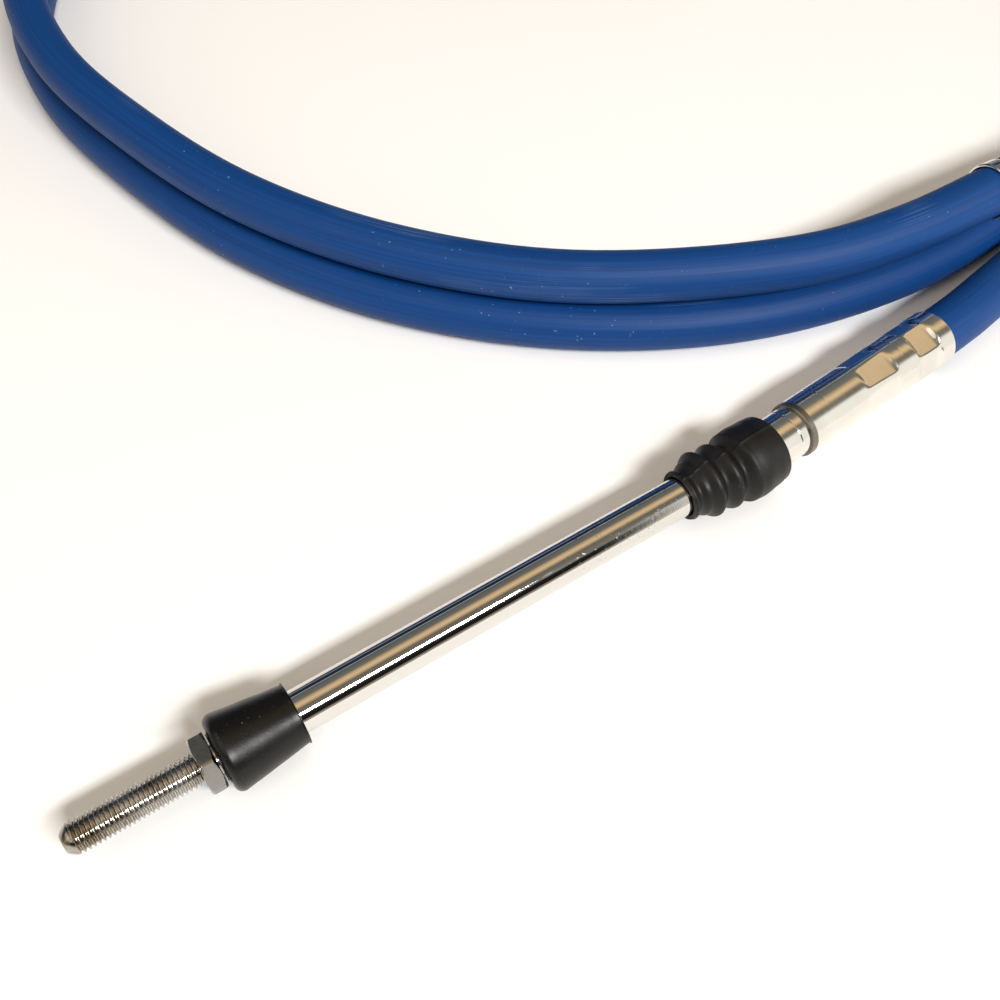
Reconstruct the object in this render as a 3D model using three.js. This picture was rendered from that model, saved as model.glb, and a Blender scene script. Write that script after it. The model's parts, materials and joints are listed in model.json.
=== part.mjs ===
// Push-pull boat control cable: a blue jacket laid in two turns, with the same fitting on both ends.
// Millimetres, +Z up. The cable lies on the plane z = 0, and the origin is the middle of the
// fittings' footprint on that plane.
import * as THREE from 'three';

const rad = THREE.MathUtils.degToRad;

// Clearances
const runGap = 0.3;            // between pieces that touch or slide, on the radius or end to end
const neckGap = 0.6;           // boot cuff around the hub neck, room for the leaning tube

// Rod with its thread
const threadDiameter = 6.35;   // 1/4-28 UNF
const threadPitch = 0.907;
const threadTurns = 28;
const threadDepth = 0.56;
const tipFlatDiameter = 3.8;
const tipLength = 2.35;
const rodInnerGap = 4.8;       // rod's inner end to the swivel centre, pushed in
const travel = 76.2;           // full stroke of the rod

// Jam nut
const nutAcrossFlats = 11.11;
const nutThickness = 3.25;
const nutChamfer = 0.5;
const nutRimInset = 0.15;       // the rim circle inside the flats
const nutStation = 25.45;      // rod tip to the nut's outer face
const nutTurn = 1;             // degrees about the rod

// Support tube
const tubeDiameter = 8.8;
const tubeLength = 133.1;
const tubeInHub = 4.2;         // how far the tube reaches past the swivel centre

// Seal cap on the tube's mouth
const capLength = 15.75;
const capLargeDiameter = 15.74;
const capSmallDiameter = 12.2;
const capEdge = 1.75;          // rounding of the large end
const capWall = 1.85;          // front wall that wipes the rod
const capLipDiameter = 9.6;
const capLipLength = 0.35;

// Boot, by distance outward from the swivel centre
const bootCuffEnd = 0;
const bootLipEnd = 23.9;
const bootCuffDiameter = 17.1;
const bootCuffEndDiameter = 16.1;
const bootRibDiameter = 15.4;
const bootGrooveDiameter = 13.0;
const bootLipDiameter = 11.3;
const bootWall = 1.9;
const bootCuffPeak = 5.95;
const bootGrooves = [11.2, 15.85];
const bootRibs = [13.45, 17.95];

// Hub, by distance inward from the swivel centre
const hubNeckDiameter = 11.7;
const hubNeckFront = 2.35;     // outward of the swivel centre
const hubShoulder = 8.3;
const hubEnd = 55.8;
const hubDiameter = 13.1;
const hubEndDiameter = 14.2;
const hubSocketDiameter = 10.5;
const hubSocketDepth = 5.9;
const hubRound = 0.45;
const crimpAcrossFlats = 12.1;
const crimpBands = [[26.3, 37.7], [43.0, 51.8]];
const crimpSlope = 1.1;
const jacketPocket = 3.4;
const crimpTurn = 43.4;        // degrees about the hub

// Jacket
const jacketDiameter = 12.5;
const jacketSides = 10;
const jacketSteps = 80;
const turnSpacing = 13.05;     // centre to centre of neighbouring turns
const floorLift = 0.1;
const coilCentre = [31.5, 361];
const coilNearRadius = 167.4;  // at the nearest point of the first turn
const coilDrift = 8;           // what the first turn closes in evenly; the rest comes at its end
const coilBulge = { width: 14, from: 227, full: 185, hold: 150, end: 90 };  // wider on its -X side
const closing = { from: 270, to: 320 };
const coilStart = -35;
const coilEnd = 625;
const coilStep = 15;
const climb = { from: 325, to: 500 };
const settle = { from: 560, to: 615 };
const stackHigh = 84;          // lean of the second turn on the first, degrees from flat inward
const stackLow = 78;

// Fittings' places: the mouth of each hub, its heading away from the jacket, the tube's lean
// sideways, and how far the rod is pushed out
const ends = {
  a: { mouth: [102.6, 186.8, 8.7], heading: 217.3, lean: -4.2, out: 0 },
  b: { mouth: [120.2, 222.4, 23.3], heading: 31, lean: 0, out: travel },
};
// Chosen points between hub A's mouth and the coil, and between the coil and hub B's mouth
const leadIn = [[111.8, 194.4, 8.5], [123.3, 205.5, 7.5], [137.6, 219.4, 6.75], [151.7, 233.8, 6.35],
  [164.8, 248.9, 6.35]];
const leadOut = [[72.6, 201.9, 19.6], [99.0, 211.2, 21.2]];

// Outer faces of the cap's front wall and of the nut with the rod in, outward of the swivel centre
const capPlace = tubeLength - tubeInHub + runGap + capWall;
const nutPlace = capPlace + capLipLength + runGap + nutThickness;

const smooth = (t) => THREE.MathUtils.smoothstep(t, 0, 1);
const material = (color, roughness, metalness) =>
  new THREE.MeshStandardMaterial({ color, roughness, metalness });
const steel = material(0xb9b9b6, 0.12, 1);
const plate = material(0xc4c2bb, 0.2, 1);
const rubber = material(0x141516, 0.6, 0);
const vinyl = material(0x1455a8, 0.4, 0);

// Turns a profile of [radius, distance along +X]; the loop's direction is set so that faces point out
function lathe(profile, sides) {
  const points = profile.map(([radius, along]) => new THREE.Vector2(radius, along));
  if (THREE.ShapeUtils.area(points) < 0) points.reverse();
  return new THREE.LatheGeometry(points, sides).rotateZ(-Math.PI / 2);
}

// Presses a turned wall in to a hexagon's flats; share is how far, by distance along +X
function pressed(geometry, acrossFlats, share) {
  const point = new THREE.Vector3();
  const places = geometry.attributes.position;
  for (let index = 0; index < places.count; index++) {
    point.fromBufferAttribute(places, index);
    const radius = Math.hypot(point.y, point.z);
    const offFlat = THREE.MathUtils.euclideanModulo(Math.atan2(point.z, point.y), rad(60)) - rad(30);
    const flat = acrossFlats / 2 / Math.cos(offFlat);
    if (radius <= flat) continue;
    const scale = 1 + share(point.x) * (flat / radius - 1);
    places.setXYZ(index, point.x, point.y * scale, point.z * scale);
  }
  return geometry;
}

function arc(centre, radius, from, to, steps) {
  return Array.from({ length: steps + 1 }, (_, k) => {
    const angle = rad(from + ((to - from) * k) / steps);
    return [centre[0] + radius * Math.cos(angle), centre[1] + radius * Math.sin(angle)];
  });
}

// Rod: chamfered tip at x = 0, thread grooves behind it, plain shank; it runs towards -X
function rodGeometry() {
  const radius = threadDiameter / 2;
  const profile = [[0, 0], [tipFlatDiameter / 2, 0], [radius - threadDepth, -tipLength + threadPitch / 2]];
  for (let turn = 0; turn < threadTurns; turn++) {
    const crest = -tipLength - turn * threadPitch;
    profile.push([radius, crest], [radius - threadDepth, crest - threadPitch / 2]);
  }
  const threadEnd = -tipLength - threadTurns * threadPitch;
  const inner = rodInnerGap - nutPlace - nutStation;
  profile.push([radius, threadEnd], [radius, inner], [0, inner]);
  return lathe(profile, 16);
}

// Jam nut: a hexagon with both rims chamfered, bored to clear the crests; outer face at x = 0
function nutGeometry() {
  const corner = nutAcrossFlats / Math.sqrt(3);
  const rim = nutAcrossFlats / 2 - nutRimInset;
  const bore = threadDiameter / 2 + runGap;
  return pressed(lathe([[bore, -nutThickness], [rim, -nutThickness], [corner, -nutThickness + nutChamfer],
    [corner, -nutChamfer], [rim, 0], [bore, 0], [bore, -nutThickness]], 36), nutAcrossFlats, () => 1);
}

// Support tube, open at both ends; x = 0 is the swivel centre
function tubeGeometry() {
  const outer = tubeDiameter / 2;
  const bore = threadDiameter / 2 + runGap;
  const tip = tubeLength - tubeInHub;
  return lathe([[bore, -tubeInHub], [outer, -tubeInHub], [outer, tip], [bore, tip], [bore, -tubeInHub]], 24);
}

// Seal cap: its front wall stands off the tube's mouth, and its rod hole clears the thread
function capGeometry() {
  const front = capPlace;
  const back = front - capLength;
  const seat = tubeDiameter / 2 + runGap;
  const hole = threadDiameter / 2 + runGap;
  const large = capLargeDiameter / 2;
  const shoulder = arc([large - capEdge, front - capEdge], capEdge, 0, 90, 4);
  return lathe([
    [hole, front - capWall], [seat, front - capWall], [seat, back], [capSmallDiameter / 2, back],
    ...shoulder, [capLipDiameter / 2, front], [capLipDiameter / 2, front + capLipLength],
    [hole, front + capLipLength], [hole, front - capWall],
  ], 32);
}

// Boot: cuff over the hub neck, two ribs, and a lip that grips the tube
function bootGeometry() {
  const grip = tubeDiameter / 2 + runGap;
  const cuffBore = hubNeckDiameter / 2 + neckGap;
  const stop = hubNeckFront + 0.5;
  const wave = (diameter, at, span, sign) => {
    const height = 0.45 * span;
    return [-1, 0, 1].map((k) => [diameter / 2 - sign * Math.abs(k) * height, at + (k * span) / 2]);
  };
  return lathe([
    [cuffBore, bootCuffEnd], [bootCuffEndDiameter / 2, bootCuffEnd],
    [bootCuffEndDiameter / 2 + 0.45, bootCuffEnd + 1.2],
    [bootCuffDiameter / 2 - 0.15, bootCuffPeak - 2.6], [bootCuffDiameter / 2, bootCuffPeak],
    [bootCuffDiameter / 2 - 0.6, bootCuffPeak + 2.2],
    ...wave(bootGrooveDiameter, bootGrooves[0], 0.9, -1), ...wave(bootRibDiameter, bootRibs[0], 1.1, 1),
    ...wave(bootGrooveDiameter, bootGrooves[1], 0.9, -1), ...wave(bootRibDiameter, bootRibs[1], 1.1, 1),
    [bootLipDiameter / 2, bootLipEnd - 3], [bootLipDiameter / 2, bootLipEnd], [grip, bootLipEnd],
    [grip, bootRibs[1]], [bootGrooveDiameter / 2 - bootWall + 0.3, bootGrooves[1]],
    [bootGrooveDiameter / 2 - bootWall + 0.3, bootGrooves[0]],
    [cuffBore, stop], [cuffBore, bootCuffEnd],
  ], 28);
}

// Hub: neck with the swivel socket, drum crimped to a hexagon in two bands, pocket for the jacket
function hubGeometry() {
  const socket = hubSocketDiameter / 2;
  const pocket = jacketDiameter / 2 + runGap;
  const neck = hubNeckDiameter / 2;
  const taper = (inward) => THREE.MathUtils.mapLinear(
    Math.max(inward, crimpBands[0][0]), crimpBands[0][0], hubEnd, hubDiameter / 2, hubEndDiameter / 2);
  const stations = [hubShoulder, ...crimpBands.flatMap(([from, to]) => [from, from + crimpSlope,
    to - crimpSlope, to])];
  const end = taper(hubEnd) - hubRound;
  const drum = lathe([
    [0, -hubSocketDepth], [socket, -hubSocketDepth], [socket, hubNeckFront], [neck, hubNeckFront],
    [neck, -hubShoulder], ...stations.map((inward) => [taper(inward), -inward]),
    ...arc([end, -hubEnd + hubRound], hubRound, 0, -90, 4),
    [pocket, -hubEnd], [pocket, -hubEnd + jacketPocket], [0, -hubEnd + jacketPocket],
  ], 36);
  const share = (along) => Math.max(...crimpBands.map(([from, to]) =>
    THREE.MathUtils.clamp(Math.min(-along - from, to + along) / crimpSlope, 0, 1)));
  return pressed(drum, crimpAcrossFlats, share);
}

// One fitting, outward along +X from its swivel centre, then turned and placed by its end's values
function fitting(id, { mouth, heading, lean, out }) {
  const pivot = new THREE.Group();
  const reach = capPlace - capEdge;
  const turned = rad(heading);
  pivot.position.set(mouth[0] + hubEnd * Math.cos(turned), mouth[1] + hubEnd * Math.sin(turned), mouth[2]);
  pivot.rotation.z = turned;
  const named = (node, geometry, look) => {
    const mesh = new THREE.Mesh(geometry, look);
    mesh.name = `${node}_${id}`;
    return mesh;
  };
  // The tube droops until its cap or the jam nut lies on the floor
  const droop = (radius, distance) => Math.asin((mouth[2] - radius) / distance);
  const arm = new THREE.Group();
  arm.rotation.order = 'ZYX';
  arm.rotation.z = rad(lean);
  arm.rotation.y = Math.min(droop(capLargeDiameter / 2, reach),
    droop(nutAcrossFlats / Math.sqrt(3), nutPlace + out));
  const rod = named('rod_end', rodGeometry(), steel);
  rod.position.x = nutPlace + nutStation + out;
  const nut = named('jam_nut', nutGeometry(), steel);
  nut.position.x = nutPlace + out;
  nut.rotation.x = rad(nutTurn);
  arm.add(rod, nut, named('seal_cap', capGeometry(), rubber),
    named('support_tube', tubeGeometry(), steel), named('boot', bootGeometry(), rubber));
  const hub = named('hub', hubGeometry(), plate);
  hub.rotation.x = rad(crimpTurn);
  pivot.add(arm, hub);
  return pivot;
}

// Height and radius of the coil at an angle: the first turn lies flat and closes in by one spacing;
// the second climbs from beside it to on top of it
function coilPoint(angle) {
  const onTop = angle >= climb.from;
  const below = onTop ? angle - 360 : angle;
  const share = ({ from, to }) => smooth((angle - from) / (to - from));
  const { width, from, full, hold, end } = coilBulge;
  const bulge = width * smooth((from - below) / (from - full)) * smooth((below - end) / (hold - end));
  const firstRadius = coilNearRadius + bulge + (coilDrift * (270 - below)) / 360
    - (turnSpacing - coilDrift) * smooth((below - closing.from) / (closing.to - closing.from));
  const lean = rad(stackHigh * share(climb) - (stackHigh - stackLow) * share(settle));
  const radius = firstRadius - (onTop ? turnSpacing * Math.cos(lean) : 0);
  const height = jacketDiameter / 2 + floorLift + (onTop ? turnSpacing * Math.sin(lean) : 0);
  return new THREE.Vector3(coilCentre[0] + radius * Math.cos(rad(angle)),
    coilCentre[1] + radius * Math.sin(rad(angle)), height);
}

// Middle line of the jacket, from inside hub A round the coil to inside hub B
function jacketPath() {
  const along = ({ mouth, heading }, distance) => new THREE.Vector3(
    mouth[0] + distance * Math.cos(rad(heading)), mouth[1] + distance * Math.sin(rad(heading)), mouth[2]);
  const inside = jacketPocket - runGap;
  const points = [along(ends.a, inside), along(ends.a, 0)];
  points.push(...leadIn.map((point) => new THREE.Vector3(...point)));
  for (let angle = coilStart; angle <= coilEnd; angle += coilStep) points.push(coilPoint(angle));
  points.push(...leadOut.map((point) => new THREE.Vector3(...point)));
  points.push(along(ends.b, 0), along(ends.b, inside));
  return new THREE.CatmullRomCurve3(points);
}

function jacketMesh() {
  const section = new THREE.Shape(Array.from({ length: jacketSides }, (_, k) => {
    const angle = (2 * Math.PI * k) / jacketSides;
    return new THREE.Vector2(Math.cos(angle), Math.sin(angle)).multiplyScalar(jacketDiameter / 2);
  }));
  const geometry = new THREE.ExtrudeGeometry(section, { steps: jacketSteps, extrudePath: jacketPath() });
  const mesh = new THREE.Mesh(geometry, vinyl);
  mesh.name = 'cable_jacket';
  return mesh;
}

const cable = new THREE.Group();
const fittings = new THREE.Group();
for (const [id, place] of Object.entries(ends)) fittings.add(fitting(id, place));
cable.add(fittings, jacketMesh());

// The origin moves to the middle of the fittings' footprint
const footprint = new THREE.Box3().setFromObject(fittings, true);
const middle = footprint.getCenter(new THREE.Vector3());
cable.position.set(-middle.x, -middle.y, 0);

export default cable;
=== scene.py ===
import json
import math
import bpy
from mathutils import Matrix, Vector, noise


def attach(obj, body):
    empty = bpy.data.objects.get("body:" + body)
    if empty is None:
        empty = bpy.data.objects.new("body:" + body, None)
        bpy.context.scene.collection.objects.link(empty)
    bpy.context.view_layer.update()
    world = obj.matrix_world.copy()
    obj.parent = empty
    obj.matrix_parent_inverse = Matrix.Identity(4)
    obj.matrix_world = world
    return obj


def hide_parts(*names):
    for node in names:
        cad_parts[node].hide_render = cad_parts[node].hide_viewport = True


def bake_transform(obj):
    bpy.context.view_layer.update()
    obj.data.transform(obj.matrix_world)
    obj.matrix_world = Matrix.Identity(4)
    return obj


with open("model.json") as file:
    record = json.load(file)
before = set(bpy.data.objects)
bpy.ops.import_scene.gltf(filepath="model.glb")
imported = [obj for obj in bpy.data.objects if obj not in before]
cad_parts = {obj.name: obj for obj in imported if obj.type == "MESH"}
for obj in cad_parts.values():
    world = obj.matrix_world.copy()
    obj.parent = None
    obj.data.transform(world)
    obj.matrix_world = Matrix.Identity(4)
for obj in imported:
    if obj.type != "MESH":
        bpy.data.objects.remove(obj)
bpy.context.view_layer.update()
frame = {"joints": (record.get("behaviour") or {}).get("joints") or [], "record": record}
print("frame loaded")

mm = 0.001
up = Vector((0, 0, 1))
jointNamed = {joint["name"]: joint for joint in frame["joints"]}
mountNamed = {mount["name"]: mount for mount in frame["record"]["mounts"]}


def toward(origin, outward):
    # a frame whose X axis points outward along a fitting, with Z as near to up as it can be
    side = up.cross(outward).normalized()
    turn = Matrix((outward, side, outward.cross(side))).transposed()
    return Matrix.Translation(origin) @ turn.to_4x4() @ Matrix.Scale(mm, 4)


def readEnd(end):
    swivel, slide = jointNamed["swivel_" + end], jointNamed["rod_slide_" + end]
    pivot = Vector(swivel["pos_m"])
    tip = Vector(mountNamed["rod_tip_" + end]["pos_m"])
    tubeOut = Vector(slide["axis"]).normalized()
    tubeOut *= 1 if tubeOut.dot(tip - pivot) > 0 else -1
    hubOut = Vector(mountNamed["hub_shoulder_" + end]["axis"]).normalized()
    return {"name": end, "pivot": pivot, "tubeOut": tubeOut, "hubOut": hubOut,
            "tube": toward(pivot, tubeOut), "hub": toward(pivot, hubOut),
            "tip": (tip - pivot).length / mm}


ends = [readEnd("a"), readEnd("b")]

# Camera

camera = {"place": (-0.14717, -0.21874, 0.19745), "tilt": 36.3, "lens": 39.6}
cameraData = bpy.data.cameras.new("camera")
cameraData.lens = camera["lens"]
cameraData.sensor_width = 36
cameraData.clip_start = 0.01
cameraObject = bpy.data.objects.new("camera", cameraData)
bpy.context.scene.collection.objects.link(cameraObject)
cameraObject.location = camera["place"]
cameraObject.rotation_euler = (math.radians(camera["tilt"]), 0, 0)
bpy.context.scene.camera = cameraObject
print("camera placed")


# Shader maths: a socket with operators, and one method for any other node

class Socket:
    def __init__(self, tree, out):
        self.tree, self.out = tree, out

    def node(self, kind, settings=None, inputs=None, output=0):
        made = self.tree.nodes.new(kind)
        for key, value in (settings or {}).items():
            if key == "stops":
                ramp = made.color_ramp
                while len(ramp.elements) < len(value):
                    ramp.elements.new(0.5)
                for element, (place, shade) in zip(ramp.elements, value):
                    element.position, element.color = place, shade
            else:
                setattr(made, key, value)
        for key, value in (inputs or {}).items():
            if isinstance(value, Socket):
                self.tree.links.new(value.out, made.inputs[key])
            else:
                made.inputs[key].default_value = value
        return Socket(self.tree, made.outputs[output])

    def math(self, operation, *values):
        return self.node("ShaderNodeMath", {"operation": operation}, dict(enumerate(values)))

    def __add__(self, other):
        return self.math("ADD", self, other)

    def __rsub__(self, other):
        return self.math("SUBTRACT", other, self)

    def __mul__(self, other):
        return self.math("MULTIPLY", self, other)

    def ramp(self, low, high, first=0.0, last=1.0):
        return self.node("ShaderNodeMapRange", {"interpolation_type": "SMOOTHSTEP"},
                         {0: self, 1: low, 2: high, 3: first, 4: last})

    def mixed(self, first, second):
        return self.node("ShaderNodeMix", {"data_type": "RGBA"}, {0: self, 6: first, 7: second}, 2)

    def noise(self, scale, detail=2.0, roughness=0.5):
        return self.node("ShaderNodeTexNoise", None,
                         {"Vector": self, "Scale": scale, "Detail": detail, "Roughness": roughness})

    def scaled(self, *factors):
        return self.node("ShaderNodeMapping", None, {"Vector": self, "Scale": factors})

    def split(self, axis):
        return self.node("ShaderNodeSeparateXYZ", None, {0: self}, axis)


def material(name, build):
    # build gets the object coordinates and the "along" map, and returns the shader's values
    made = bpy.data.materials.new(name)
    made.use_nodes = True
    tree = made.node_tree
    shader = next(node for node in tree.nodes if node.type == "BSDF_PRINCIPLED")
    root = Socket(tree, None)
    place = root.node("ShaderNodeTexCoord", None, None, 3)
    along = root.node("ShaderNodeUVMap", {"uv_map": "along"})
    values = build(place, along)
    height = values.pop("height", None)
    if height:
        bump = root.node("ShaderNodeBump", None,
                         {"Height": height[0], "Strength": height[1], "Distance": height[2]})
        tree.links.new(bump.out, shader.inputs["Normal"])
    for key, value in values.items():
        if isinstance(value, Socket):
            tree.links.new(value.out, shader.inputs[key])
        else:
            shader.inputs[key].default_value = value
    return made


# Turned pieces: a grid rolled about the fitting's axis, its seam and poles merged

def deselectAll():
    for item in bpy.context.selected_objects:
        item.select_set(False)


def smoothShade(piece, angle):
    deselectAll()
    piece.select_set(True)
    bpy.context.view_layer.objects.active = piece
    bpy.ops.object.shade_smooth_by_angle(angle=math.radians(angle))


def rolled(name, profile, segments, shape=None, closed=True):
    # profile is (radius, distance along X); shape may change a point's radius by its angle
    rows = profile + [profile[0]] if closed else profile
    deselectAll()
    bpy.ops.mesh.primitive_grid_add(x_subdivisions=segments, y_subdivisions=len(rows) - 1, size=1)
    piece = bpy.context.active_object
    piece.name = piece.data.name = name
    mesh = piece.data
    lengths = [0.0]
    for before, after in zip(rows, rows[1:]):
        lengths.append(lengths[-1] + math.dist(before, after))
    for index, vertex in enumerate(mesh.vertices):
        row, column = divmod(index, segments + 1)
        radius, distance = rows[row]
        angle = 2 * math.pi * (column % segments) / segments
        if shape:
            radius, distance = shape(angle, radius, distance)
        vertex.co = (distance, radius * math.cos(angle), radius * math.sin(angle))
    layer = mesh.uv_layers[0]
    layer.name = "along"
    for loop in mesh.loops:
        row, column = divmod(loop.vertex_index, segments + 1)
        layer.data[loop.index].uv = (column / segments, lengths[row])
    bpy.ops.object.mode_set(mode="EDIT")
    bpy.ops.mesh.select_all(action="SELECT")
    bpy.ops.mesh.remove_doubles(threshold=1e-4)
    bpy.ops.mesh.normals_make_consistent(inside=False)
    bpy.ops.object.mode_set(mode="OBJECT")
    return piece


def settle(piece, place, angle, look, body, node):
    piece.data.transform(place)
    piece.data.update()
    smoothShade(piece, angle)
    piece.data.materials.clear()
    piece.data.materials.append(look)
    if body:
        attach(piece, body)
    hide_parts(node)


def curveThrough(points, steps):
    # eased radius between the stations of a moulded or turned outline
    outline = []
    for (r0, a0), (r1, a1) in zip(points, points[1:]):
        for k in range(steps):
            t = k / steps
            outline.append((r0 + (r1 - r0) * (0.5 - 0.5 * math.cos(math.pi * t)), a0 + (a1 - a0) * t))
    return outline + [points[-1]]


def quarter(centre, radius, start, stop, steps):
    return [(centre[0] + radius * math.cos(math.radians(start + (stop - start) * k / steps)),
             centre[1] + radius * math.sin(math.radians(start + (stop - start) * k / steps)))
            for k in range(steps + 1)]


def clamp(value):
    return max(0.0, min(1.0, value))


def eased(value):
    value = clamp(value)
    return value * value * (3 - 2 * value)


def hexRadius(angle, acrossFlats, turn):
    offFlat = (angle - math.radians(turn)) % (math.pi / 3) - math.pi / 6
    return acrossFlats / 2 / math.cos(offFlat)


# Cable jacket

jacket = {"diameter": 12.5, "spacing": 13.05, "lift": 0.1, "centre": (31.5, 361), "near": 167.4,
          "drift": 8, "bulge": 14, "bulgeIn": (227, 185), "bulgeOut": (90, 150), "closing": (270, 320),
          "climb": (325, 500), "settle": (560, 615), "high": 84, "low": 78,
          "first": -35, "last": 625, "step": 15, "sides": 40, "ring": 5.0,
          "inside": 3.1, "reach": 55.8, "shift": (-146.98622, -219.01835)}
leadIn = [(111.8, 194.4, 8.5), (123.3, 205.5, 7.5), (137.6, 219.4, 6.75), (151.7, 233.8, 6.35),
          (164.8, 248.9, 6.35)]
leadOut = [(72.6, 201.9, 19.6), (99.0, 211.2, 21.2)]


def coilPoint(angle):
    onTop = angle >= jacket["climb"][0]
    below = angle - 360 if onTop else angle

    def share(value, span):
        return eased((value - span[0]) / (span[1] - span[0]))

    bulge = jacket["bulge"] * share(below, jacket["bulgeIn"]) * share(below, jacket["bulgeOut"])
    first = (jacket["near"] + bulge + jacket["drift"] * (270 - below) / 360
             - (jacket["spacing"] - jacket["drift"]) * share(below, jacket["closing"]))
    lean = math.radians(jacket["high"] * share(angle, jacket["climb"])
                        - (jacket["high"] - jacket["low"]) * share(angle, jacket["settle"]))
    radius = first - (jacket["spacing"] * math.cos(lean) if onTop else 0)
    height = jacket["diameter"] / 2 + jacket["lift"] + (jacket["spacing"] * math.sin(lean) if onTop else 0)
    turn = math.radians(angle)
    return Vector((jacket["centre"][0] + radius * math.cos(turn),
                   jacket["centre"][1] + radius * math.sin(turn), height))


def jacketLine():
    shift = Vector((*jacket["shift"], 0))
    mouths = [(end["pivot"] / mm - end["hubOut"] * jacket["reach"]) for end in ends]
    insides = [mouth + end["hubOut"] * jacket["inside"] for mouth, end in zip(mouths, ends)]
    angles = range(jacket["first"], jacket["last"] + 1, jacket["step"])
    middle = [Vector(point) for point in leadIn] + [coilPoint(angle) for angle in angles]
    middle += [Vector(point) for point in leadOut]
    knots = [insides[0], mouths[0], *[point + shift for point in middle], mouths[1], insides[1]]
    return knots, mouths


def centripetal(knots, spacing):
    # the same curve as the part's: centripetal Catmull-Rom, its ends carried on straight
    ring = [2 * knots[0] - knots[1], *knots, 2 * knots[-1] - knots[-2]]
    line = []
    for p0, p1, p2, p3 in zip(ring, ring[1:], ring[2:], ring[3:]):
        d0, d1, d2 = ((b - a).length ** 0.5 for a, b in ((p0, p1), (p1, p2), (p2, p3)))
        m1 = ((p1 - p0) / d0 - (p2 - p0) / (d0 + d1) + (p2 - p1) / d1) * d1
        m2 = ((p2 - p1) / d1 - (p3 - p1) / (d1 + d2) + (p3 - p2) / d2) * d1
        count = max(1, round((p2 - p1).length / spacing))
        for k in range(count):
            t = k / count
            line.append(p1 * (2 * t**3 - 3 * t**2 + 1) + m1 * (t**3 - 2 * t**2 + t)
                        + p2 * (3 * t**2 - 2 * t**3) + m2 * (t**3 - t**2))
    return line + [knots[-1]]


def jacketLook(place, along):
    drawn = along.scaled(60, 9, 1).noise(1.0, 3.0, 0.6)
    streak = along.scaled(260, 14, 1).noise(1.0, 2.0, 0.6)
    patch = along.scaled(2.2, 16, 1).noise(1.0, 3.0, 0.55)
    speck = place.noise(950.0, 2.0, 0.7).ramp(0.70, 0.76)
    rubbed = patch.ramp(0.52, 0.70) * streak.ramp(0.50, 0.70)
    scuff = (speck * place.noise(34.0, 2.0, 0.5).ramp(0.5, 0.62)) + rubbed * 0.5
    base = drawn.ramp(0.3, 0.7).mixed((0.0005, 0.033, 0.150, 1), (0.0010, 0.047, 0.200, 1))
    return {"Base Color": scuff.math("MINIMUM", scuff * 0.6, 0.5).mixed(base, (0.40, 0.55, 0.76, 1)),
            "Roughness": streak.ramp(0.25, 0.75, 0.48, 0.62) + rubbed * 0.12,
            "Specular IOR Level": 0.24,
            "height": (streak * 0.6 + drawn * 0.4, 0.2, 0.0002)}


jacketMaterial = material("jacket blue", jacketLook)


def makeJacket():
    knots, mouths = jacketLine()
    line = centripetal(knots, jacket["ring"])
    rows, sides = len(line), jacket["sides"]
    deselectAll()
    bpy.ops.mesh.primitive_grid_add(x_subdivisions=sides, y_subdivisions=rows - 1, size=1)
    piece = bpy.context.active_object
    piece.name = piece.data.name = "jacket"
    mesh = piece.data
    side = up.cross(line[1] - line[0]).normalized()
    rings = []
    run = [0.0]
    for k, point in enumerate(line):
        ahead = (line[min(k + 1, rows - 1)] - line[max(k - 1, 0)]).normalized()
        side = (side - ahead * side.dot(ahead)).normalized()
        rings.append((point, side, ahead.cross(side)))
        if k:
            run.append(run[-1] + (point - line[k - 1]).length * mm)
    radius = jacket["diameter"] / 2
    for index, vertex in enumerate(mesh.vertices):
        row, column = divmod(index, sides + 1)
        point, sideways, rise = rings[row]
        angle = 2 * math.pi * (column % sides) / sides - math.pi / 2
        vertex.co = (point + radius * (math.cos(angle) * sideways + math.sin(angle) * rise)) * mm
    layer = mesh.uv_layers[0]
    layer.name = "along"
    for loop in mesh.loops:
        row, column = divmod(loop.vertex_index, sides + 1)
        layer.data[loop.index].uv = (column / sides, run[row])
    bpy.ops.object.mode_set(mode="EDIT")
    bpy.ops.mesh.select_all(action="SELECT")
    bpy.ops.mesh.remove_doubles(threshold=1e-7)
    bpy.ops.mesh.select_all(action="DESELECT")
    bpy.ops.mesh.select_non_manifold()
    bpy.ops.mesh.edge_face_add()
    bpy.ops.mesh.select_all(action="SELECT")
    bpy.ops.mesh.normals_make_consistent(inside=False)
    bpy.ops.object.mode_set(mode="OBJECT")
    settle(piece, Matrix.Identity(4), 50, jacketMaterial, "cable", "cable_jacket")
    tuple(mouths[0] * mm)
    [tuple(point * mm) for point in line]
    print("jacket made,", round(run[-1], 3), "m")


makeJacket()

# Rod end with its rolled thread

rod = {"major": 6.35, "pitch": 0.907, "turns": 28, "depth": 0.56, "root": 0.12, "flank": 0.72,
       "tipFlat": 3.8, "tip": 2.35, "bare": 1.5, "plain": 3, "length": 155.6, "steps": 12, "segments": 64}


def threadRadius(angle, back):
    # radius by the distance back from the tip: a helix with narrow flats on crest and root
    phase = (back / rod["pitch"] - angle / (2 * math.pi)) % 1
    flank = clamp((abs(2 * phase - 1) - rod["root"]) / rod["flank"])
    full = rod["major"] / 2
    fade = eased((back - rod["turns"] * rod["pitch"]) / (1.5 * rod["pitch"]))
    start = eased((back - rod["bare"]) / (0.5 * rod["pitch"]))
    radius = full - rod["depth"] * (1 - flank) * (1 - fade) * start
    chamfer = math.sin(clamp(back / rod["tip"]) * math.pi / 2) ** 0.9
    nose = rod["tipFlat"] / 2 + (full - rod["tipFlat"] / 2) * chamfer
    return min(radius, nose)


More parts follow.
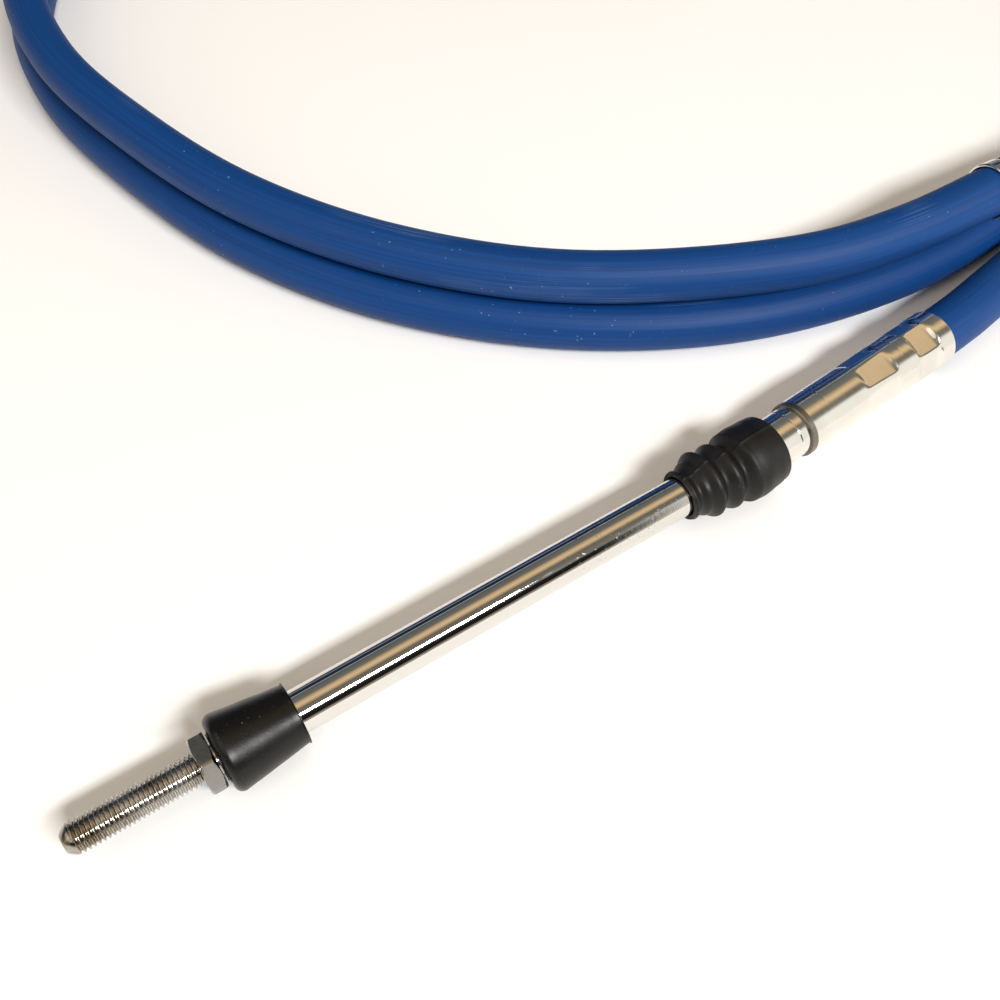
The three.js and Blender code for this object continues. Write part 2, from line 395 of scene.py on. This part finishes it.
def steelLook(place, along):
    grain = place.noise(900.0, 2.0, 0.6)
    stain = place.noise(160.0, 3.0, 0.6)
    return {"Base Color": stain.ramp(0.4, 0.68).mixed((0.52, 0.505, 0.48, 1), (0.30, 0.26, 0.20, 1)),
            "Metallic": 1.0,
            "Roughness": grain.ramp(0.3, 0.7, 0.13, 0.24)}


rodMaterial = material("rolled steel", steelLook)


def makeRod(end):
    step = rod["pitch"] / rod["steps"]
    threaded = (rod["turns"] + 2) * rod["pitch"] + rod["tip"]
    backs = [k * step for k in range(int(threaded / step) + 1)] + [threaded + rod["plain"], rod["length"]]
    profile = [(0.0, 0.0)] + [(1.0, -back) for back in backs] + [(0.0, -rod["length"])]

    def shape(angle, radius, distance):
        if radius:
            radius = threadRadius(angle, -distance)
        return radius, distance + end["tip"]

    piece = rolled("rod_" + end["name"], profile, rod["segments"], shape, closed=False)
    settle(piece, end["tube"], 38, rodMaterial, "rod_" + end["name"], "rod_end_" + end["name"])


# Jam nut

nut = {"flats": 11.11, "thick": 3.25, "back": 25.45, "rim": 5.35, "slant": 28, "blunt": 0.06,
       "bore": 3.475, "bevel": 0.35, "turn": 1, "segments": 96}


def nutLook(place, along):
    grain = place.noise(700.0, 2.0, 0.6)
    return {"Base Color": grain.ramp(0.3, 0.7).mixed((0.285, 0.28, 0.27, 1), (0.32, 0.315, 0.30, 1)),
            "Metallic": 1.0,
            "Roughness": grain.ramp(0.3, 0.7, 0.16, 0.22)}


nutMaterial = material("nut steel", nutLook)


def makeNut(end):
    thick = nut["thick"]
    corner = nut["flats"] / math.sqrt(3)
    slant = math.tan(math.radians(nut["slant"]))
    depths = [0.0, 0.05, 0.12, 0.2, 0.3, 0.4, 0.5, 0.6, 0.75]
    outer = [(corner, depth) for depth in depths] + [(corner, thick / 2)]
    outer += [(corner, thick - depth) for depth in reversed(depths)]
    bore, bevel = nut["bore"], nut["bevel"]
    inner = [(bore + bevel, thick), (bore, thick - bevel), (bore, bevel), (bore + bevel, 0.0)]
    face = end["tip"] - nut["back"]

    def shape(angle, radius, depth):
        if radius > nut["rim"]:
            near = min(depth, thick - depth)
            flat = hexRadius(angle, nut["flats"], nut["turn"])
            radius = min(flat, nut["rim"] + near / slant, corner - nut["blunt"])
        return radius, face - depth

    piece = rolled("nut_" + end["name"], outer + inner, nut["segments"], shape)
    settle(piece, end["tube"], 25, nutMaterial, "rod_" + end["name"], "jam_nut_" + end["name"])


# Seal cap

cap = {"front": 131.05, "length": 15.75, "large": 15.74, "small": 12.2, "edge": 1.75, "wall": 1.85,
       "lip": 9.6, "lipLength": 0.35, "seat": 4.7, "hole": 3.475, "segments": 128, "flash": 0.22}


def rubberLook(tone, low, high):
    def look(place, along):
        bloom = place.noise(120.0, 4.0, 0.6)
        pore = place.noise(1500.0, 2.0, 0.6)
        dust = place.noise(2600.0, 1.0, 0.5).ramp(0.72, 0.78) * place.noise(90.0, 2.0, 0.5).ramp(0.45, 0.6)
        base = bloom.ramp(0.35, 0.75).mixed((tone, tone, tone * 1.05, 1),
                                            (tone * 1.7, tone * 1.7, tone * 1.8, 1))
        return {"Base Color": (dust * 0.4).mixed(base, (0.3, 0.3, 0.3, 1)),
                "Roughness": bloom.ramp(0.3, 0.7, low, high),
                "Specular IOR Level": 0.3,
                "height": (bloom * 0.7 + pore * 0.3, 0.25, 0.00025)}
    return look


capMaterial = material("cap rubber", rubberLook(0.002, 0.3, 0.42))
bootMaterial = material("boot rubber", rubberLook(0.004, 0.42, 0.6))


def makeCap(end):
    front, back = cap["front"], cap["front"] - cap["length"]
    large, small = cap["large"] / 2, cap["small"] / 2
    lip, lipEnd = cap["lip"] / 2, front + cap["lipLength"]
    wall = [(small + (large - small) * k / 12, back + 0.5 + (cap["length"] - cap["edge"] - 0.5) * k / 12)
            for k in range(12)]
    profile = [(cap["seat"], back), (small - 0.1, back), (small + cap["flash"], back + 0.02),
               (small + cap["flash"], back + 0.16), (small + 0.01, back + 0.3), *wall,
               *quarter((large - cap["edge"], front - cap["edge"]), cap["edge"], 0, 90, 10),
               (lip + 0.4, front), (lip, front + 0.08), (lip, lipEnd - 0.08), (lip - 0.08, lipEnd),
               (cap["hole"], lipEnd), (cap["hole"], front - cap["wall"]),
               (cap["seat"], front - cap["wall"])]

    def shape(angle, radius, distance):
        if radius > lip + 0.5:
            radius += 0.05 * noise.noise(Vector((math.cos(angle), math.sin(angle), distance / 5)) * 1.3)
        return radius, distance

    piece = rolled("cap_" + end["name"], profile, cap["segments"], shape)
    settle(piece, end["tube"], 40, capMaterial, "tube_" + end["name"], "seal_cap_" + end["name"])


# Support tube

# worn: where the scraped patch fades in and out, along the wall
tube = {"outer": 4.4, "bore": 3.475, "inner": -4.2, "tip": 128.9, "edge": 0.3,
        "worn": ((22, 30), (46, 62)), "segments": 128}


def tubeLook(place, along):
    run = along.split(1)
    fine = along.scaled(90, 0.35, 1).noise(1.0, 2.0, 0.6)
    scrape = along.scaled(34, 1.1, 1).noise(1.0, 4.0, 0.75)
    start, stop = ([tube["outer"] + past for past in span] for span in tube["worn"])
    near = run.ramp(*start) * (1 - run.ramp(*stop))
    worn = scrape.ramp(0.60, 0.66) * near
    return {"Base Color": worn.mixed((0.68, 0.665, 0.64, 1), (0.24, 0.22, 0.20, 1)),
            "Metallic": 1.0,
            "Roughness": fine.ramp(0.3, 0.7, 0.035, 0.07) + worn * 0.4,
            "height": (scrape * near, 0.1, 0.0001)}


tubeMaterial = material("tube polish", tubeLook)


def makeTube(end):
    edge, outer, bore = tube["edge"], tube["outer"], tube["bore"]
    inner, tip = tube["inner"], tube["tip"]
    wall = [(outer, inner + edge + (tip - inner - 2 * edge) * k / 30) for k in range(31)]
    profile = [(bore + 0.1, inner), (outer - edge, inner), *wall, (outer - edge, tip), (bore + 0.1, tip),
               (bore, tip - 0.1), (bore, inner + 0.1)]
    piece = rolled("tube_" + end["name"], profile, tube["segments"])
    settle(piece, end["tube"], 35, tubeMaterial, "tube_" + end["name"], "support_tube_" + end["name"])


# Boot: moulded in one piece, bent between the hub's line and the tube's

boot = {"segments": 160, "seam": 0.2, "seamWidth": 1.4, "seamTurn": 92, "wall": 6.5, "cuffWall": 5.3,
        "cuffFrom": 19, "bendFrom": 6, "bendLength": 13,
        "outline": [(7.55, 0.0), (8.05, 0.35), (8.3, 2.7), (8.55, 6.6), (8.35, 8.9), (6.35, 11.2),
                    (7.75, 13.45), (6.3, 15.85), (7.7, 17.95), (6.3, 20.2), (5.35, 22.0), (5.75, 23.3),
                    (5.5, 23.9)],
        "inside": [(4.7, 23.9), (4.7, 18.0), (5.0, 15.85), (6.0, 13.45), (5.0, 11.2), (6.45, 7.0),
                   (6.45, 2.9), (6.45, 0.0)]}


def makeBoot(end):
    outer = curveThrough(boot["outline"], 9)
    seams = [math.radians(boot["seamTurn"]), math.radians(boot["seamTurn"] + 180)]

    def shape(angle, radius, distance):
        # the seam and the unevenness stay off the inner wall
        if radius > boot["wall"] or (radius > boot["cuffWall"] and distance > boot["cuffFrom"]):
            for seam in seams:
                off = math.degrees((angle - seam + math.pi) % (2 * math.pi) - math.pi)
                radius += boot["seam"] * math.exp(-(off / boot["seamWidth"]) ** 2)
            radius += 0.07 * noise.noise(Vector((math.cos(angle), math.sin(angle), distance / 6)) * 1.7)
        return radius, distance

    piece = rolled("bellows_" + end["name"], outer + boot["inside"], boot["segments"], shape)
    for vertex in piece.data.vertices:
        share = eased((vertex.co.x - boot["bendFrom"]) / boot["bendLength"])
        vertex.co = (end["hub"] @ vertex.co) * (1 - share) + (end["tube"] @ vertex.co) * share
    settle(piece, Matrix.Identity(4), 45, bootMaterial, None, "boot_" + end["name"])
    "tube_" + end["name"]
    tuple(end["pivot"] + end["hubOut"] * 6 * mm)
    tuple(end["pivot"] + end["tubeOut"] * 19 * mm)
    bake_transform(piece)


# Hub

hub = {"neck": 5.85, "front": 2.35, "shoulder": 8.3, "drum": 6.55, "mouth": 7.1, "end": 55.8, "socket": 5.25,
       "socketDepth": 5.9, "pocket": 6.55, "pocketDepth": 3.4, "bands": [(26.3, 37.7), (43.0, 51.8)],
       "flats": 12.1, "slope": 1.9, "turn": 43.4, "round": 0.45, "segments": 144, "rings": [15.85, 40.4],
       "ringCut": (0.1, 0.16), "neckRing": 5.7, "neckCut": (0.08, 0.14), "dullAndShaded": (24.3, 26.7)}


def hubLook(place, along):
    fine = along.scaled(3, 5.5, 1).noise(1.0, 2.0, 0.6)
    cloud = place.noise(60.0, 3.0, 0.55)
    run = along.split(1)
    # the shoulder face, between these lengths along the profile, is painted dark and made rougher: partly
    # its rough ground finish, partly painted shade for the dark reflection that face shows
    low, high = hub["dullAndShaded"]
    dullAndShaded = run.ramp(low, low + 0.25) * (1 - run.ramp(high - 0.25, high))
    plated = cloud.ramp(0.3, 0.7).mixed((0.78, 0.765, 0.72, 1), (0.70, 0.685, 0.64, 1))
    return {"Base Color": dullAndShaded.mixed(plated, (0.20, 0.185, 0.16, 1)),
            "Metallic": 1.0,
            "Roughness": fine.ramp(0.3, 0.7, 0.10, 0.20) + dullAndShaded * 0.25,
            "height": (fine, 0.06, 0.0001)}


hubMaterial = material("hub plate", hubLook)


def turnedCut(offset, size):
    # how deep a turned ring is at a distance from its middle
    depth, width = size
    return depth * math.exp(-(offset / width) ** 2)


def makeHub(end):
    first = hub["bands"][0][0]

    def drumRadius(inward):
        return hub["drum"] + (hub["mouth"] - hub["drum"]) * clamp((inward - first) / (hub["end"] - first))

    stations = [hub["shoulder"] + 0.25 + (hub["end"] - 0.8 - hub["shoulder"]) * k / 150 for k in range(150)]
    drum = [(drumRadius(inward), -inward) for inward in stations]
    neckStart, neckLength = hub["front"] - 0.3, hub["front"] + hub["shoulder"] - 0.3
    neckLine = [(hub["neck"], neckStart - neckLength * k / 40) for k in range(41)]
    profile = [(0, -hub["socketDepth"]), (hub["socket"], -hub["socketDepth"]),
               (hub["socket"], hub["front"] - 0.2),
               (hub["socket"] + 0.2, hub["front"]), (hub["neck"] - 0.2, hub["front"]), *neckLine,
               (hub["drum"] - 0.2, -hub["shoulder"]), *drum,
               *quarter((hub["mouth"] - hub["round"], -hub["end"] + hub["round"]), hub["round"], 0, -90, 6),
               (hub["pocket"] + 0.05, -hub["end"]), (hub["pocket"], -hub["end"] + 0.1),
               (hub["pocket"], -hub["end"] + hub["pocketDepth"]), (0, -hub["end"] + hub["pocketDepth"])]

    def shape(angle, radius, distance):
        inward = -distance
        if radius > hub["pocket"] + 0.08 or (radius >= hub["drum"] - 0.01):
            flat = hexRadius(angle, hub["flats"], hub["turn"])
            for start, stop in hub["bands"]:
                pressed = eased(min(inward - start, stop - inward) / hub["slope"])
                if radius > flat:
                    radius += (flat - radius) * pressed
            for ring in hub["rings"]:
                radius -= turnedCut(inward - ring, hub["ringCut"])
        elif abs(radius - hub["neck"]) < 0.01:
            radius -= turnedCut(inward - hub["neckRing"], hub["neckCut"])
        return radius, distance

    piece = rolled("crimped_hub_" + end["name"], profile, hub["segments"], shape, closed=False)
    settle(piece, end["hub"], 30, hubMaterial, "cable", "hub_" + end["name"])


for end in ends:
    makeRod(end)
    makeNut(end)
    makeCap(end)
    makeTube(end)
    makeBoot(end)
    makeHub(end)
    print("end", end["name"], "made")

# Floor and light

studio = {"floor": 3.0, "aim": (-0.06, -0.04, 0.0), "keyRise": 46, "keyAway": 1.9, "keyAcross": 0.26,
          "keyAlong": 0.9, "keyPower": 42, "fill": (-0.95, -0.55, 1.15), "fillSize": 1.6, "fillPower": 6}
deselectAll()
bpy.ops.mesh.primitive_plane_add(size=studio["floor"], location=(0, 0, 0))
floor = bpy.context.active_object
floor.name = "floor"
floor.data.materials.append(material("floor white", lambda place, along: {
    "Base Color": (0.9, 0.9, 0.9, 1), "Roughness": place.noise(9.0).ramp(0.3, 0.7, 0.55, 0.65)}))


def areaLight(name, place, across, along, power, tint):
    data = bpy.data.lights.new(name, "AREA")
    data.shape = "RECTANGLE"
    data.energy, data.size, data.size_y, data.color = power, across, along, tint
    lamp = bpy.data.objects.new(name, data)
    bpy.context.scene.collection.objects.link(lamp)
    back = (Vector(place) - Vector(studio["aim"])).normalized()
    lengthwise = (ends[0]["tubeOut"] - back * ends[0]["tubeOut"].dot(back)).normalized()
    turn = Matrix((lengthwise.cross(back), lengthwise, back)).transposed()
    lamp.matrix_world = Matrix.Translation(place) @ turn.to_4x4()


# The near side of the tube, level: the key light stands there, square to the tube
nearSide = ends[0]["tubeOut"].cross(up).normalized() * -1
rise = math.radians(studio["keyRise"])
keyPlace = Vector(studio["aim"]) + (nearSide * math.cos(rise) + up * math.sin(rise)) * studio["keyAway"]
areaLight("key", keyPlace, studio["keyAcross"], studio["keyAlong"], studio["keyPower"], (1.0, 0.985, 0.96))
areaLight("fill", studio["fill"], studio["fillSize"], studio["fillSize"], studio["fillPower"],
          (1.0, 0.99, 0.97))

# The room around the part, by the angle about the tube: 0 is level on the near side, 1 on the far side.
# Low on the near side it is bright where it looks along the tube toward the hub.
room = {"strength": 1.0, "bright": (1.1, 1.08, 1.0, 1), "brightFrom": (0.38, 0.5),
        "brightTo": (0.24, 0.32), "stops": [
    (0.00, (0.55, 0.50, 0.42, 1)), (0.05, (0.30, 0.26, 0.20, 1)), (0.08, (0.012, 0.012, 0.012, 1)),
    (0.19, (0.015, 0.014, 0.012, 1)), (0.22, (0.22, 0.21, 0.19, 1)), (0.40, (0.20, 0.18, 0.14, 1)),
    (0.44, (0.62, 0.44, 0.25, 1)), (0.50, (0.95, 0.70, 0.42, 1)),
    (0.58, (0.60, 0.42, 0.23, 1)), (0.62, (0.20, 0.20, 0.18, 1)),
    (0.76, (0.14, 0.15, 0.15, 1)), (0.78, (0.02, 0.03, 0.045, 1)), (0.795, (0.7, 0.75, 0.8, 1)),
    (0.81, (0.02, 0.03, 0.045, 1)), (0.92, (0.025, 0.035, 0.055, 1)), (0.935, (0.55, 0.6, 0.68, 1)),
    (0.95, (0.03, 0.04, 0.06, 1)), (1.00, (0.06, 0.07, 0.10, 1))]}
world = bpy.data.worlds.new("room")
bpy.context.scene.world = world
world.use_nodes = True
sky = Socket(world.node_tree, None)
direction = sky.node("ShaderNodeTexCoord")
near = direction.node("ShaderNodeVectorMath", {"operation": "DOT_PRODUCT"}, {0: direction, 1: nearSide}, 1)
around = sky.math("ARCTAN2", direction.split(2), near) * (1 / math.pi)
bands = sky.node("ShaderNodeValToRGB", {"stops": room["stops"]}, {0: around})
inward = direction.node("ShaderNodeVectorMath", {"operation": "DOT_PRODUCT"},
                        {0: direction, 1: -ends[0]["tubeOut"]}, 1)
bright = inward.ramp(*room["brightFrom"]) * (1 - around.ramp(*room["brightTo"]))
shade = bright.mixed(bands, room["bright"])
background = world.node_tree.nodes["Background"]
world.node_tree.links.new(shade.out, background.inputs[0])
background.inputs[1].default_value = room["strength"]
bpy.context.scene.view_settings.view_transform = "Standard"
print("light set")
